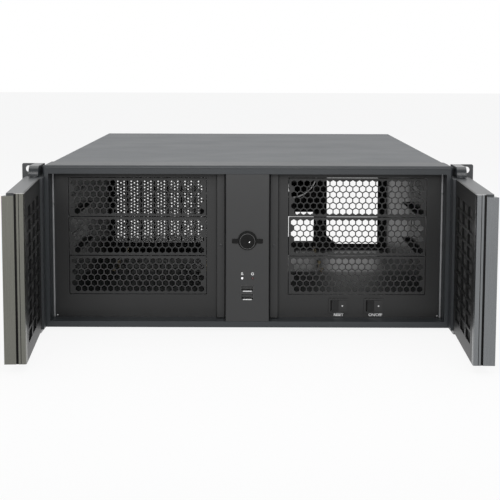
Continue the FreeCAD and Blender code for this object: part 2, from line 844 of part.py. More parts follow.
# A double-ended cam on the core's stub.
lock_cam = new_piece("lock_cam")
cam_low = s.lock_height - s.cam_width / 2
pad(lock_cam, "XZ", cam_front, cam_back, [
    rectangle(-s.cam_length / 2, s.cam_length / 2, cam_low, cam_low + s.cam_width),
    circle(0, s.lock_height, s.cam_stub_radius)])

# ---------------------------------------------------------------- front sockets and lamps

socket_front = -s.frame_reach - s.usb_lip
board_front = socket_front + s.usb_depth
front_board = new_piece("front_board")
pad(front_board, "XZ", board_front, board_front + s.board_sheet, [
    rectangle(-s.board_width / 2, s.board_width / 2, s.board_low, s.board_high)])
for side in SIDES.values():
    left, right = spanned(side, s.board_width / 2 - s.board_tab, s.board_width / 2)
    pad(front_board, "XZ", column_inner, board_front, [
        rectangle(left, right, s.board_high - s.board_tab, s.board_high)])

for name, usb_place in (("upper", s.usb_upper_height), ("lower", s.usb_lower_height)):
    usb_socket = new_piece("usb_socket_" + name)
    half_width = s.usb_width / 2
    half_rise = s.usb_height / 2
    pad(usb_socket, "XZ", socket_front, board_front, [
        rectangle(-half_width, half_width, usb_place - half_rise, usb_place + half_rise)])
    pocket(usb_socket, "XZ", socket_front, board_front - s.column_wall, [rectangle(
        -half_width + s.usb_wall, half_width - s.usb_wall,
        usb_place - half_rise + s.usb_wall, usb_place + half_rise - s.usb_wall)])
    tongue_half = half_width - 2 * s.usb_wall
    pad(usb_socket, "XZ", socket_front + s.usb_tongue_setback, board_front - s.column_wall, [
        rectangle(-tongue_half, tongue_half, usb_place, usb_place + half_rise - s.usb_wall)])

for name, lamp in (("led_disk", -s.lamp_offset), ("led_power", s.lamp_offset)):
    led = new_piece(name)
    pad(led, "XZ", socket_front, board_front, [square(lamp, s.lamp_height, s.lamp_width)])

# ---------------------------------------------------------------- rocker switches

well_floor = s.plate_front - s.bezel_reach + s.well_depth
rocker_pivot = s.plate_front + s.rocker_pivot_depth
for name, centre in (("reset", s.reset_place), ("power", s.power_place)):
    housing = new_piece(name + "_switch_housing")
    up = s.switch_height
    bezel_front = s.plate_front - s.bezel_reach
    body_back = s.plate_front + s.switch_body_depth
    pad(housing, "XZ", bezel_front, s.plate_front, [rectangle(
        centre - s.bezel_width / 2, centre + s.bezel_width / 2,
        up - s.bezel_rise / 2, up + s.bezel_rise / 2)])
    pad(housing, "XZ", s.plate_front, body_back, [rectangle(
        centre - s.switch_body_width / 2, centre + s.switch_body_width / 2,
        up - s.switch_body_rise / 2, up + s.switch_body_rise / 2)])
    pocket(housing, "XZ", bezel_front, well_floor, [rectangle(
        centre - s.well_width / 2, centre + s.well_width / 2, up - s.well_rise / 2, up + s.well_rise / 2)])
    # The rocker snaps into a notch above and below.
    notch = 2 * (s.trunnion_radius + s.lock_clearance)
    notch_half = s.rocker_rise / 2 + s.trunnion_length + s.trunnion_end_gap
    pocket(housing, "XY", up - notch_half, up + notch_half, [square(centre, rocker_pivot, notch)])
    for terminal in (centre - s.well_width / 4, centre + s.well_width / 4):
        pad(housing, "XZ", body_back, body_back + s.terminal_length, [rectangle(
            terminal - s.terminal_sheet / 2, terminal + s.terminal_sheet / 2,
            up - s.terminal_width / 2, up + s.terminal_width / 2)])

    rocker = new_piece(name + "_rocker")
    half = s.rocker_width / 2
    top = -s.rocker_reach - s.rocker_pivot_depth
    pad(rocker, "XY", -s.rocker_rise / 2, s.rocker_rise / 2, [[
        (-half, top), (0, top + s.rocker_dip), (half, top), (half - s.rocker_flank, 0),
        (half / 2, s.rocker_reach), (-half / 2, s.rocker_reach), (-half + s.rocker_flank, 0)]])
    pad(rocker, "XY", -s.rocker_rise / 2 - s.trunnion_length, s.rocker_rise / 2 + s.trunnion_length, [
        circle(0, 0, s.trunnion_radius)])
    place(rocker, centre, rocker_pivot, up, s.rocker_tilt)

# ---------------------------------------------------------------- rack ears and hinge arms

ear_outer = frame_half + s.ear_show
pivot_place = frame_half + s.pivot_step
arm_near = pivot_place - s.arm_width / 2
arm_far = pivot_place + s.arm_width / 2
arm_top_low = panel_height - s.arm_top_height
pin_hole = s.pin_radius + s.pin_clearance
for side_name, side in SIDES.items():
    # A steel angle: the slotted front plate and a flange along the case's wall.
    ear = new_piece("rack_ear_" + side_name)
    neck = frame_half + s.bay_gap * 4
    slot_half = s.rack_slot_length / 2
    slot_middle = ear_outer - s.rack_slot_margin
    left, right = spanned(side, slot_middle - slot_half, slot_middle + slot_half)
    slot_round = s.rack_slot_width / 2
    rack_slots = [
        rectangle(left, right, up - slot_round, up + slot_round, slot_round)
        for up in (s.rack_slot_inset, panel_height - s.rack_slot_inset)]
    pad(ear, "XZ", 0, s.ear_sheet, [[
        (side * wall_outer, s.ear_flange_low), (side * neck, s.ear_flange_low), (side * neck, 0),
        (side * ear_outer, 0, s.ear_corner), (side * ear_outer, panel_height, s.ear_corner),
        (side * neck, panel_height), (side * neck, s.ear_flange_high),
        (side * wall_outer, s.ear_flange_high)]] + rack_slots)
    left, right = spanned(side, wall_outer, wall_outer + s.ear_sheet)
    pad(ear, "XZ", s.ear_sheet, s.ear_flange_depth, [
        rectangle(left, right, s.ear_flange_low, s.ear_flange_high)])

    # Cast arms that carry the door's pins above and below.
    left, right = spanned(side, arm_near, arm_far)
    arm = new_piece("hinge_arm_%s_top" % side_name)
    pad(arm, "YZ", left, right, [[
        (-s.arm_reach, arm_top_low), (0, arm_top_low), (0, panel_height),
        (-s.arm_reach, panel_height, s.arm_radius)]])
    pocket(arm, "XY", arm_top_low, arm_top_low + s.pin_reach + 2 * s.fit_gap, [
        circle(side * pivot_place, -s.pivot_reach, pin_hole)])
    arm = new_piece("hinge_arm_%s_bottom" % side_name)
    pad(arm, "YZ", left, right, [[
        (-s.arm_reach, 0, s.arm_edge), (0, 0), (0, s.arm_bottom_high), (-s.arm_reach, s.arm_bottom_high)]])
    pocket(arm, "XY", s.arm_bottom_high - s.pin_reach - 2 * s.fit_gap, s.arm_bottom_high, [
        circle(side * pivot_place, -s.pivot_reach, pin_hole)])

# ---------------------------------------------------------------- doors

# Each door is drawn closed about its pivot, with its length along X, and then turned open.
half_door = s.door_thickness / 2
door_low = s.arm_bottom_high + s.door_clearance
door_high = arm_top_low - s.door_clearance
door_end = pivot_place - column_half - s.door_gap
trim_start = door_end - s.door_edge_width
stile_end = s.stile_width - half_door
grille_face = half_door - s.stile_step
grille_back = grille_face - s.grille_sheet


def window_grid(run, rows):
    """The sides of the vents, in rows and columns that fill the door between its margins."""
    bar_along = s.window_bar_along
    bar_up = s.window_bar_up
    start = stile_end + s.window_margin_along
    step_along = (trim_start - s.window_margin_along - start + bar_along) / s.window_columns
    low = door_low + s.window_margin_low
    step_up = (door_high - s.window_margin_high - low + bar_up) / rows
    sides = []
    for column in range(int(s.window_columns.number)):
        near = start + step_along * column
        left, right = spanned(run, near, near + step_along - bar_along)
        for row in range(int(rows.number)):
            foot = low + step_up * row
            corners = rectangle(left, right, foot, foot + step_up - bar_up)
            sides += polygon_edges([(number(across), number(up)) for across, up in corners])
    return sides


for side_name, side in SIDES.items():
    open_angle = s.left_open_angle if side < 0 else s.right_open_angle
    # The left door runs towards +X when it is closed, the right door towards -X.
    run = -side
    turn = side * open_angle

    # The outer shell: a face with tall vents, a solid hinge stile, top and bottom walls.
    shell = new_piece(side_name + "_door_shell")
    pad(shell, "XY", door_low, door_high, [[
        (-run * half_door, -half_door, s.door_corner), (run * trim_start, -half_door),
        (run * trim_start, half_door - s.stile_step - s.grille_sheet), (run * stile_end, grille_back),
        (run * stile_end, half_door), (-run * half_door, half_door, s.door_corner)]])
    left, right = spanned(run, stile_end, trim_start - s.door_wall)
    cavity_face = -half_door + s.door_wall
    pocket(shell, "XZ", cavity_face, grille_back, [
        rectangle(left, right, door_low + s.door_wall, door_high - s.door_wall)])
    pocket(shell, "XZ", -half_door, cavity_face, [], window_grid(run, s.shell_window_rows))
    bore_depth = s.pin_hold + s.fit_gap
    pocket(shell, "XY", door_high - bore_depth, door_high, [circle(0, 0, s.pin_radius)])
    pocket(shell, "XY", door_low, door_low + bore_depth, [circle(0, 0, s.pin_radius)])

    # The inner grille plate, flush with the step of the stile.
    grille = new_piece(side_name + "_door_grille")
    left, right = spanned(run, stile_end, trim_start)
    pad(grille, "XZ", grille_back, grille_face, [
        rectangle(left, right, door_low, door_high)], window_grid(run, s.window_rows))

    # The filter mat fills the space between the shell and the grille.
    mat = new_piece(side_name + "_door_filter")
    left, right = spanned(run, stile_end + s.fit_gap, trim_start - s.door_wall - s.fit_gap)
    pad(mat, "XZ", cavity_face + s.bay_gap, grille_back - s.bay_gap, [rectangle(
        left, right, door_low + s.door_wall + s.fit_gap, door_high - s.door_wall - s.fit_gap)])

    # The free edge: an extruded strip with a pull lip, a channel and a bevelled inner corner.
    trim = new_piece(side_name + "_door_edge")
    lip_outer = -half_door - s.lip_reach
    lip_inner = lip_outer + s.lip_face
    rib_start = lip_inner + s.channel_width
    rib_end = rib_start + s.edge_rib
    groove_end = rib_end + s.edge_groove
    pad(trim, "XY", door_low, door_high, [[
        (run * trim_start, -half_door), (run * (door_end - s.lip_slope), -half_door),
        (run * door_end, lip_outer), (run * door_end, lip_inner),
        (run * (door_end - s.channel_depth), lip_inner), (run * (door_end - s.channel_depth), rib_start),
        (run * door_end, rib_start), (run * door_end, rib_end),
        (run * (door_end - s.edge_groove), rib_end), (run * (door_end - s.edge_groove), groove_end),
        (run * door_end, groove_end), (run * door_end, half_door - s.edge_bevel),
        (run * (door_end - s.edge_bevel), grille_face), (run * trim_start, grille_face)]])
    left, right = spanned(run, door_end - s.lip_slope - s.overcut, door_end + s.overcut)
    pocket(trim, "XZ", lip_outer - s.overcut, lip_inner, [
        rectangle(left, right, door_high - s.lip_drop, door_high + s.overcut)])

    for part in (shell, grille, mat, trim):
        place(part, side * pivot_place, -s.pivot_reach, 0, turn)

    upper_end = arm_top_low + s.pin_reach
    lower_end = s.arm_bottom_high - s.pin_reach
    pins = group(side_name + "_door_pins", [
        rod(s.pin_radius, upper_end - door_high + s.pin_hold, (0, 0, door_high - s.pin_hold), (0, 0, 1)),
        rod(s.pin_radius, door_low + s.pin_hold - lower_end, (0, 0, lower_end), (0, 0, 1))])
    pins.Placement = FreeCAD.Placement(
        FreeCAD.Vector(number(side * pivot_place), -number(s.pivot_reach), 0), FreeCAD.Rotation())

# ---------------------------------------------------------------- fans

half_fan = s.fan_size / 2
fan_front = rear_inner - s.fan_depth
for side_name, fan_place in (("left", fan_left), ("right", fan_right)):
    # A square duct with four arms and a hub across its rear.
    frame = new_piece("fan_frame_" + side_name)
    pad(frame, "XZ", fan_front, rear_inner, [
        rectangle(fan_place - half_fan, fan_place + half_fan, s.fan_height - half_fan,
                  s.fan_height + half_fan, s.fan_corner),
        circle(fan_place, s.fan_height, s.fan_bore)])
    arm_half = s.fan_arm_width / 2
    reach = s.fan_bore + s.fan_arm_overlap
    pad(frame, "XZ", rear_inner - s.fan_hub_sheet, rear_inner, [[
        (fan_place - reach, s.fan_height - arm_half), (fan_place - arm_half, s.fan_height - arm_half),
        (fan_place - arm_half, s.fan_height - reach), (fan_place + arm_half, s.fan_height - reach),
        (fan_place + arm_half, s.fan_height - arm_half), (fan_place + reach, s.fan_height - arm_half),
        (fan_place + reach, s.fan_height + arm_half), (fan_place + arm_half, s.fan_height + arm_half),
        (fan_place + arm_half, s.fan_height + reach), (fan_place - arm_half, s.fan_height + reach),
        (fan_place - arm_half, s.fan_height + arm_half), (fan_place - reach, s.fan_height + arm_half)]])
    pad(frame, "XZ", rear_inner - s.fan_hub_sheet, rear_inner, [
        circle(fan_place, s.fan_height, s.fan_hub)])
    pocket(frame, "XZ", rear_inner - s.fan_hub_sheet, rear_inner, [
        circle(fan_place, s.fan_height, s.fan_shaft + s.pin_clearance)])

    # The rotor: a cup-shaped hub, its shaft and swept blades.
    rotor = new_piece("fan_rotor_" + side_name)
    hub_back = s.fan_depth - s.fan_hub_sheet - s.fit_gap
    pad(rotor, "XZ", s.fit_gap * 2, hub_back, [circle(0, 0, s.fan_hub)])
    pad(rotor, "XZ", hub_back, s.fan_depth - s.fit_gap, [circle(0, 0, s.fan_shaft)])
    blade = rotor.newObject("PartDesign::AdditiveLoft", rotor.Name + "_blade")
    sections = []
    blade_middle = s.fan_depth / 2 - s.fan_hub_sheet / 2
    half_chord = s.fan_blade_chord / 2
    for level, sweep in ((s.fan_hub - s.fan_blade_root, 0), (s.fan_blade_tip, s.fan_blade_sweep)):
        front = blade_middle - s.fan_blade_rise / 2
        back = blade_middle + s.fan_blade_rise / 2
        low = sweep - half_chord
        high = sweep + half_chord
        sections.append(sketch_on(rotor, "YZ", level, [[
            (front, low), (front + s.fan_blade_sheet, low), (back, high), (back - s.fan_blade_sheet, high)]]))
    blade.Profile = sections[0]
    blade.Sections = sections[1:]
    worked_out(blade)
    ring = rotor.newObject("PartDesign::PolarPattern", rotor.Name + "_blades")
    ring.Originals = [blade]
    axis = [part for part in rotor.Origin.OriginFeatures if part.Role == "Y_Axis"][0]
    ring.Axis = (axis, [""])
    ring.Angle = 360
    ring.setExpression("Occurrences", s.fan_blades.formula)
    rotor.Tip = ring
    worked_out(ring)
    place(rotor, fan_place, fan_front, s.fan_height)

# ---------------------------------------------------------------- fasteners

standoffs = []
for across in (0, s.board_column_middle, s.board_column_far):
    for forward in (0, s.board_row_middle, s.board_row_far):
        foot = (io_right + s.board_hole_edge - across, rear_inner - s.board_hole_rear - forward, s.steel)
        standoffs.append(hexagon_bar(s.standoff_radius, s.standoff_height, foot, (0, 0, 1)))
group("standoffs", standoffs)

lid_screws = []
ear_screws = []
for side in SIDES.values():
    for index in range(int(s.cover_screw_count.number)):
        along = s.cover_screw_first + s.cover_screw_step * index
        foot = (side * lid_half, along, lap_low + s.cover_lap / 2)
        lid_screws.append(hexagon_bar(s.screw_head_radius, s.screw_head_height, foot, (side, 0, 0)))
    for index in range(int(s.ear_screw_count.number)):
        up = s.ear_screw_first + s.ear_screw_step * index
        foot = (side * (wall_outer + s.ear_sheet), s.ear_screw_place, up)
        ear_screws.append(hexagon_bar(s.screw_head_radius, s.screw_head_height, foot, (side, 0, 0)))
group("cover_screws", lid_screws)
group("ear_screws", ear_screws)

slot_screws = []
for index in range(int(s.slot_count.number)):
    foot = (slot_first + s.slot_pitch * index, slot_plane + s.slot_screw_setback,
            s.slot_ledge_height + s.slot_cover_sheet)
    slot_screws.append(hexagon_bar(s.screw_head_radius, s.screw_head_height, foot, (0, 0, 1)))
group("slot_screws", slot_screws)

# ---------------------------------------------------------------- check and write

doc.recompute()
for item in doc.Objects:
    if "Invalid" in item.State or "Error" in item.State:
        raise ValueError("%s has not been worked out: %s" % (item.Name, item.State))
os.makedirs("parts", exist_ok=True)
for piece in pieces:
    if piece.Shape.isNull() or not piece.Shape.isValid():
        raise ValueError(piece.Label + " has no valid shape")
for piece in pieces:
    piece.Shape.exportStep(os.path.join("parts", piece.Label + ".step"))
print(len(pieces), "pieces written")
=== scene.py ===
"""Looks for an empty 4U rackmount server case with its two vented front doors open.

Lengths are in metres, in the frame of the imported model: X to the right seen from the
front, Y into the case and Z up from the underside.
"""

import math

import bmesh
import bpy
from mathutils import Matrix, Vector


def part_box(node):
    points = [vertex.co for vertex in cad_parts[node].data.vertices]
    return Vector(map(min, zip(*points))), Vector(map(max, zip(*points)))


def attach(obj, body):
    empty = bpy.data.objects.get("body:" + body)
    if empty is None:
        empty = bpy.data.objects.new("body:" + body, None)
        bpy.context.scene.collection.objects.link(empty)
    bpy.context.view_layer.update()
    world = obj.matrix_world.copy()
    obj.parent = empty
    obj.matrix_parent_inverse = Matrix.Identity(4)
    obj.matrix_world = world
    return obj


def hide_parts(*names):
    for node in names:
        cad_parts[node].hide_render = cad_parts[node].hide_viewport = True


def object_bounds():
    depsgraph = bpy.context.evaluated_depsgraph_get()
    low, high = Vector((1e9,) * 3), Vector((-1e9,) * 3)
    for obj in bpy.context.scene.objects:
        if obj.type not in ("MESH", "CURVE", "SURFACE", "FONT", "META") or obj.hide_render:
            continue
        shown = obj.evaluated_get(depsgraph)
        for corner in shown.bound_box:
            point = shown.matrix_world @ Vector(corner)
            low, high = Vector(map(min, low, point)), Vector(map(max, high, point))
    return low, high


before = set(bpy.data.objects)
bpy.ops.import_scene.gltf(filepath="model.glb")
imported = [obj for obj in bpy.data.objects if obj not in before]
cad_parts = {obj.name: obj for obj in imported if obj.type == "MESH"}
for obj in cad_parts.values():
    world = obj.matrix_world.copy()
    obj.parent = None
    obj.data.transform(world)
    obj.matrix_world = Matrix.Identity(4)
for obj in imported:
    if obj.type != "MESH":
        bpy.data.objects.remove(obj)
cad_low, cad_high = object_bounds()

# ---------------------------------------------------------------- tray, rear wall and lid
# Sheet steel 1.2 mm thick, folded and then powder coated black: a tray with two walls, a
# rear wall and a lid that laps over the walls. The coat has a fine orange peel.


class Signal:
    """A value on its way through a finish. Arithmetic on it adds Math nodes."""

    def __init__(self, wiring, socket):
        self.wiring = wiring
        self.socket = socket

    def math(self, operation, first, second):
        return self.wiring.node("ShaderNodeMath", {"operation": operation}, {0: first, 1: second})

    def __add__(self, other):
        return self.math("ADD", self, other)

    def __radd__(self, other):
        return self.math("ADD", other, self)

    def __sub__(self, other):
        return self.math("SUBTRACT", self, other)

    def __rsub__(self, other):
        return self.math("SUBTRACT", other, self)

    def __mul__(self, other):
        return self.math("MULTIPLY", self, other)

    def __rmul__(self, other):
        return self.math("MULTIPLY", other, self)


class Wiring:
    """The nodes of one material or of the studio's surround."""

    def __init__(self, tree):
        self.tree = tree

    def join(self, socket, value):
        if isinstance(value, Signal):
            self.tree.links.new(value.socket, socket)
        else:
            socket.default_value = value

    def node(self, kind, settings, sockets, output=0):
        """Adds a node: its settings first, then the values or links of its sockets."""
        made = self.tree.nodes.new(kind)
        for setting, value in settings.items():
            setattr(made, setting, value)
        for socket, value in sockets.items():
            self.join(made.inputs[socket], value)
        return Signal(self, made.outputs[output])


class Finish(Wiring):
    """A surface finish: one material, whose shader takes plain values or signals."""

    def __init__(self, name, **constants):
        self.material = bpy.data.materials.new(name)
        self.material.use_nodes = True
        super().__init__(self.material.node_tree)
        self.shader = self.tree.nodes["Principled BSDF"]
        for socket, value in constants.items():
            self.set(socket.replace("_", " "), value)

    def set(self, socket, value):
        self.join(self.shader.inputs[socket], value)

    def place(self, stretch=(1, 1, 1)):
        """The point on the piece, in metres, stretched along its axes."""
        point = self.node("ShaderNodeTexCoord", {}, {}, output="Object")
        return self.node("ShaderNodeMapping", {}, {"Vector": point, "Scale": stretch})

    def noise(self, scale, detail=2, stretch=(1, 1, 1)):
        return self.node("ShaderNodeTexNoise", {}, {
            "Vector": self.place(stretch), "Scale": scale, "Detail": detail})

    def blend(self, amount, first, second):
        return self.node("ShaderNodeMix", {"data_type": "RGBA"}, {0: amount, 6: first, 7: second}, output=2)

    def bump(self, height, depth, strength=1):
        self.set("Normal", self.node("ShaderNodeBump", {}, {
            "Height": height, "Distance": depth, "Strength": strength}))


def grey(level, blue=0.0):
    """A grey of one brightness, with a little more blue if it is asked for."""
    return (level, level * (1 + blue / 2), level * (1 + blue), 1)


def powder_coat(name, level, roughness, blue=0.1, depth=0.00003):
    """Baked powder paint: orange peel, a faint cloudiness and slightly duller patches."""
    coat = Finish(name, Specular_IOR_Level=0.4)
    cloud = coat.noise(14, detail=4)
    peel = coat.noise(900, detail=1)
    coat.set("Base Color", coat.blend(cloud, grey(level * 0.8, blue), grey(level * 1.2, blue)))
    coat.set("Roughness", roughness - 0.06 + 0.12 * cloud + 0.05 * peel)
    coat.bump(peel, depth, 0.6)
    return coat


def dress(finish, *names):
    """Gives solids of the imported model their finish."""
    for name in names:
        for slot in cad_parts[name].material_slots:
            slot.material = finish.material


body_coat = powder_coat("black_powder_coat", 0.014, 0.42)
dress(body_coat, "chassis_tray", "rear_panel")
lid_coat = powder_coat("lid_powder_coat", 0.014, 0.42, blue=0.9)
dress(lid_coat, "top_cover")

# ---------------------------------------------------------------- screws
# Pan-head screws with a cross recess: three along each side of the lid, four through each
# rack ear, one on each expansion bracket and four round each fan, black or bright zinc plated.


def join_meshes(meshes):
    """One mesh from several, with doubled points merged."""
    whole = bmesh.new()
    for mesh in meshes:
        whole.from_mesh(mesh)
        bpy.data.meshes.remove(mesh)
    bmesh.ops.remove_doubles(whole, verts=whole.verts, dist=1e-6)
    bmesh.ops.recalc_face_normals(whole, faces=whole.faces)
    joined = bpy.data.meshes.new("joined")
    whole.to_mesh(joined)
    whole.free()
    return joined


def piece(name, body, finish, meshes, bevel=None, smooth=None, stands_for=()):
    """Makes one piece from its meshes, with its finish, and lets it ride on a body."""
    mesh = join_meshes(meshes)
    mesh.name = name
    made = bpy.data.objects.new(name, mesh)
    bpy.context.scene.collection.objects.link(made)
    mesh.materials.append(finish.material)
    if smooth is not None:
        mesh.shade_smooth()
        mesh.set_sharp_from_angle(angle=math.radians(smooth))
    if bevel is not None:
        edges = made.modifiers.new("rounded edges", "BEVEL")
        edges.width = bevel
        edges.segments = 2
        edges.limit_method = "ANGLE"
        edges.angle_limit = math.radians(50)
    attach(made, body)
    if stands_for:
        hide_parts(*stands_for)


def sheet(outline, openings, thickness):
    """A flat sheet across the case, its front at y = 0, pierced by closed openings."""
    drawing = bpy.data.curves.new("sheet", "CURVE")
    drawing.dimensions = "2D"
    drawing.fill_mode = "BOTH"
    drawing.extrude = thickness / 2
    for points in [outline] + list(openings):
        line = drawing.splines.new("POLY")
        line.points.add(len(points) - 1)
        for point, (across, up) in zip(line.points, points):
            point.co = (across, up, 0, 1)
        line.use_cyclic_u = True
    holder = bpy.data.objects.new("sheet", drawing)
    mesh = bpy.data.meshes.new_from_object(holder)
    bpy.data.objects.remove(holder)
    bpy.data.curves.remove(drawing)
    mesh.transform(Matrix.Translation((0, thickness / 2, 0)) @ Matrix.Rotation(math.pi / 2, 4, "X"))
    return mesh


def ring_of(radius, sides, across=0, up=0):
    """The corners of a regular polygon, with its first corner straight up."""
    step = 2 * math.pi / sides
    return [
        (across + radius * math.sin(step * corner), up + radius * math.cos(step * corner))
        for corner in range(sides)]


def turned(profile, sides=32):
    """A lathe-turned mesh about the Y axis, from the (radius, y) points of its profile."""
    shape = bmesh.new()
    points = [shape.verts.new((radius, along, 0)) for radius, along in profile]
    edges = [shape.edges.new(pair) for pair in zip(points, points[1:])]
    bmesh.ops.spin(
        shape, geom=points + edges, cent=(0, 0, 0), axis=(0, 1, 0), angle=2 * math.pi, steps=sides)
    mesh = bpy.data.meshes.new("turned")
    shape.to_mesh(mesh)
    shape.free()
    return mesh


def moved(mesh, x, y, z, facing=None):
    """Shifts a mesh, after turning its front, which looks along -Y, to face another way."""
    turn = Matrix.Identity(4)
    if facing is not None:
        turn = Vector((0, -1, 0)).rotation_difference(Vector(facing)).to_matrix().to_4x4()
    mesh.transform(Matrix.Translation((x, y, z)) @ turn)
    return mesh


def cross_outline(arm, half_width):
    """A cross-shaped recess, arm by arm."""
    corners = []
    for quarter in range(4):
        turn = Matrix.Rotation(-math.pi / 2 * quarter, 2)
        for x, y in ((-half_width, half_width), (-half_width, arm), (half_width, arm)):
            corners.append(tuple(turn @ Vector((x, y))))
    return corners


def screw_head(radius, height):
    """A pan head with a cross recess; it stands on y = 0 and looks along -Y."""
    shoulder = height * 0.45
    crown = radius * 0.72
    return [
        turned([(0, -shoulder), (crown, -shoulder), (radius * 0.97, -shoulder * 0.8), (radius, 0), (0, 0)]),
        moved(sheet(ring_of(crown, 28), [cross_outline(radius * 0.55, radius * 0.12)], height - shoulder),
              0, -height, 0)]


def screws(name, body, finish, head_radius, head_height, places, facing, stands_for=()):
    """A group of like screws, each place given by the middle of the head's underside."""
    heads = []
    for place, way in zip(places, facing):
        for mesh in screw_head(head_radius, head_height):
            heads.append(moved(mesh, *place, way))
    piece(name, body, finish, heads, smooth=35, stands_for=stands_for)


zinc = Finish("zinc_plated_steel", Metallic=1)
zinc_patches = zinc.noise(260, detail=4)
zinc.set("Base Color", zinc.blend(zinc_patches, (0.34, 0.34, 0.33, 1), (0.5, 0.5, 0.51, 1)))
zinc.set("Roughness", 0.28 + 0.2 * zinc_patches)
black_zinc = powder_coat("black_zinc_screws", 0.02, 0.3)

head_radius = 0.0033
head_height = 0.0016
ears_low, ears_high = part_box("ear_screws")
lid_low, lid_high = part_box("cover_screws")
ear_face = ears_high.x - head_height
lid_face = lid_high.x - head_height
lid_screw_height = (lid_low.z + lid_high.z) / 2
hex_corner = 0.0034
hex_flat = hex_corner * math.cos(math.pi / 6)


def evenly(first, last, count):
    """Places at equal steps from the first to the last."""
    return [first + (last - first) * step / (count - 1) for step in range(count)]


ear_rows = evenly(ears_low.z + hex_corner, ears_high.z - hex_corner, 4)
lid_rows = evenly(lid_low.y + hex_flat, lid_high.y - hex_flat, 3)
ear_line = (ears_low.y + ears_high.y) / 2
sides = (-1, 1)
screws("ear_screw_heads", "case", black_zinc, head_radius, head_height,
       [(side * ear_face, ear_line, up) for side in sides for up in ear_rows],
       [(side, 0, 0) for side in sides for up in ear_rows], ["ear_screws"])
screws("lid_screw_heads", "case", black_zinc, head_radius, head_height,
       [(side * lid_face, along, lid_screw_height) for side in sides for along in lid_rows],
       [(side, 0, 0) for side in sides for along in lid_rows], ["cover_screws"])

# ---------------------------------------------------------------- front frame
# The collar round the recess: jambs, sill and rounded head bent from coated sheet, with a
# rolled lip and a groove along the top edge and a bead down each jamb.

frame_coat = powder_coat("frame_satin_coat", 0.022, 0.4, blue=0.3, depth=0.00002)
dress(frame_coat, "front_frame")

# ---------------------------------------------------------------- recess plate
# The coated steel plate at the back of the recess, with openings for the bays, the lock
# and the switches. A small rivet holds the foot of each jamb bead.

plate_coat = powder_coat("plate_powder_coat", 0.009, 0.34, blue=0.02)


def upright(low, high, radius=0.0, steps=5):
    """A rectangle from its lowest to its highest corner, its corners rounded."""
    if not radius:
        return [(low[0], low[1]), (high[0], low[1]), (high[0], high[1]), (low[0], high[1])]
    corners = []
    centres = ((high[0] - radius, high[1] - radius), (low[0] + radius, high[1] - radius),
               (low[0] + radius, low[1] + radius), (high[0] - radius, low[1] + radius))
    for quarter, (across, up) in enumerate(centres):
        for step in range(steps + 1):
            turn = math.pi / 2 * (quarter + step / steps)
            corners.append((across + radius * math.cos(turn), up + radius * math.sin(turn)))
    return corners


plate_low, plate_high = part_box("bay_plate")
opening_gap = 0.0004
openings = []
for side_name in ("left", "right"):
    bay_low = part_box("bay_cover_%s_3" % side_name)[0]
    bay_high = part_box("bay_cover_%s_1" % side_name)[1]
    openings.append((bay_low.x, bay_low.z, bay_high.x, bay_high.z))
collar = 0.0008
for switch in ("reset", "power"):
    low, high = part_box(switch + "_switch_housing")
    openings.append((low.x + collar, low.z + collar, high.x - collar, high.z - collar))
strip_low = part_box("column_strip_left")[0]
strip_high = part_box("column_strip_right")[1]
wire_room = 0.012
openings.append((
    strip_low.x + wire_room, strip_low.z + wire_room, strip_high.x - wire_room, strip_high.z - wire_room))
plate = sheet(
    upright((plate_low.x, plate_low.z), (plate_high.x, plate_high.z)),
    [upright((left - opening_gap, foot - opening_gap), (right + opening_gap, head + opening_gap), 0.0008)
     for left, foot, right, head in openings], plate_high.y - plate_low.y)
piece("bay_plate_pierced", "case", plate_coat, [moved(plate, 0, plate_low.y, 0)],
      bevel=0.0004, stands_for=["bay_plate"])
bead_radius = 0.0012
bead_line = plate_high.x + 0.0026
bead_front = plate_low.y - 0.0024
bead_low = 0.0115
bead_high = 0.1675
# A light satin-metal rod runs in front of each jamb's black bead: its pale grey is a painted highlight along
# the bead.
bead_painted_highlight = Finish("satin_bead_painted_highlight", Metallic=0.3)
bead_haze = bead_painted_highlight.noise(90, detail=3)
bead_painted_highlight.set("Base Color", bead_painted_highlight.blend(bead_haze, grey(0.2), grey(0.3, 0.05)))
bead_painted_highlight.set("Roughness", 0.24 + 0.1 * bead_haze)
beads = []
rivets = []
for side in sides:
    bead_length = bead_high - bead_low
    bead = turned([(0, 0), (bead_radius, 0), (bead_radius, bead_length), (0, bead_length)], 24)
    bead.transform(Matrix.Rotation(math.pi / 2, 4, "X"))
    beads.append(moved(bead, side * bead_line, bead_front, bead_low))
    rivet = turned([(0, -0.0012), (0.0007, -0.001), (0.0011, -0.0004), (0.0012, 0), (0, 0)], 20)
    rivets.append(moved(rivet, side * plate_high.x, plate_low.y, bead_low + 0.001))
piece("jamb_beads_painted_highlight", "case", bead_painted_highlight, beads, smooth=40)
piece("bead_rivets", "case", zinc, rivets, smooth=60)

# ---------------------------------------------------------------- bay covers
# Six perforated steel covers, three to a side, each punched with six staggered rows of
# hexagonal vents, folded to a shallow rim and powder coated.

cover_coat = powder_coat("cover_powder_coat", 0.011, 0.36, blue=0.02)
cover_steel = 0.0012
vent_rows = 6
vent_columns = 20
vent_pitch = 0.007
vent_row_pitch = vent_pitch * math.sqrt(3) / 2
vent_radius = 0.00295 / math.cos(math.pi / 6)

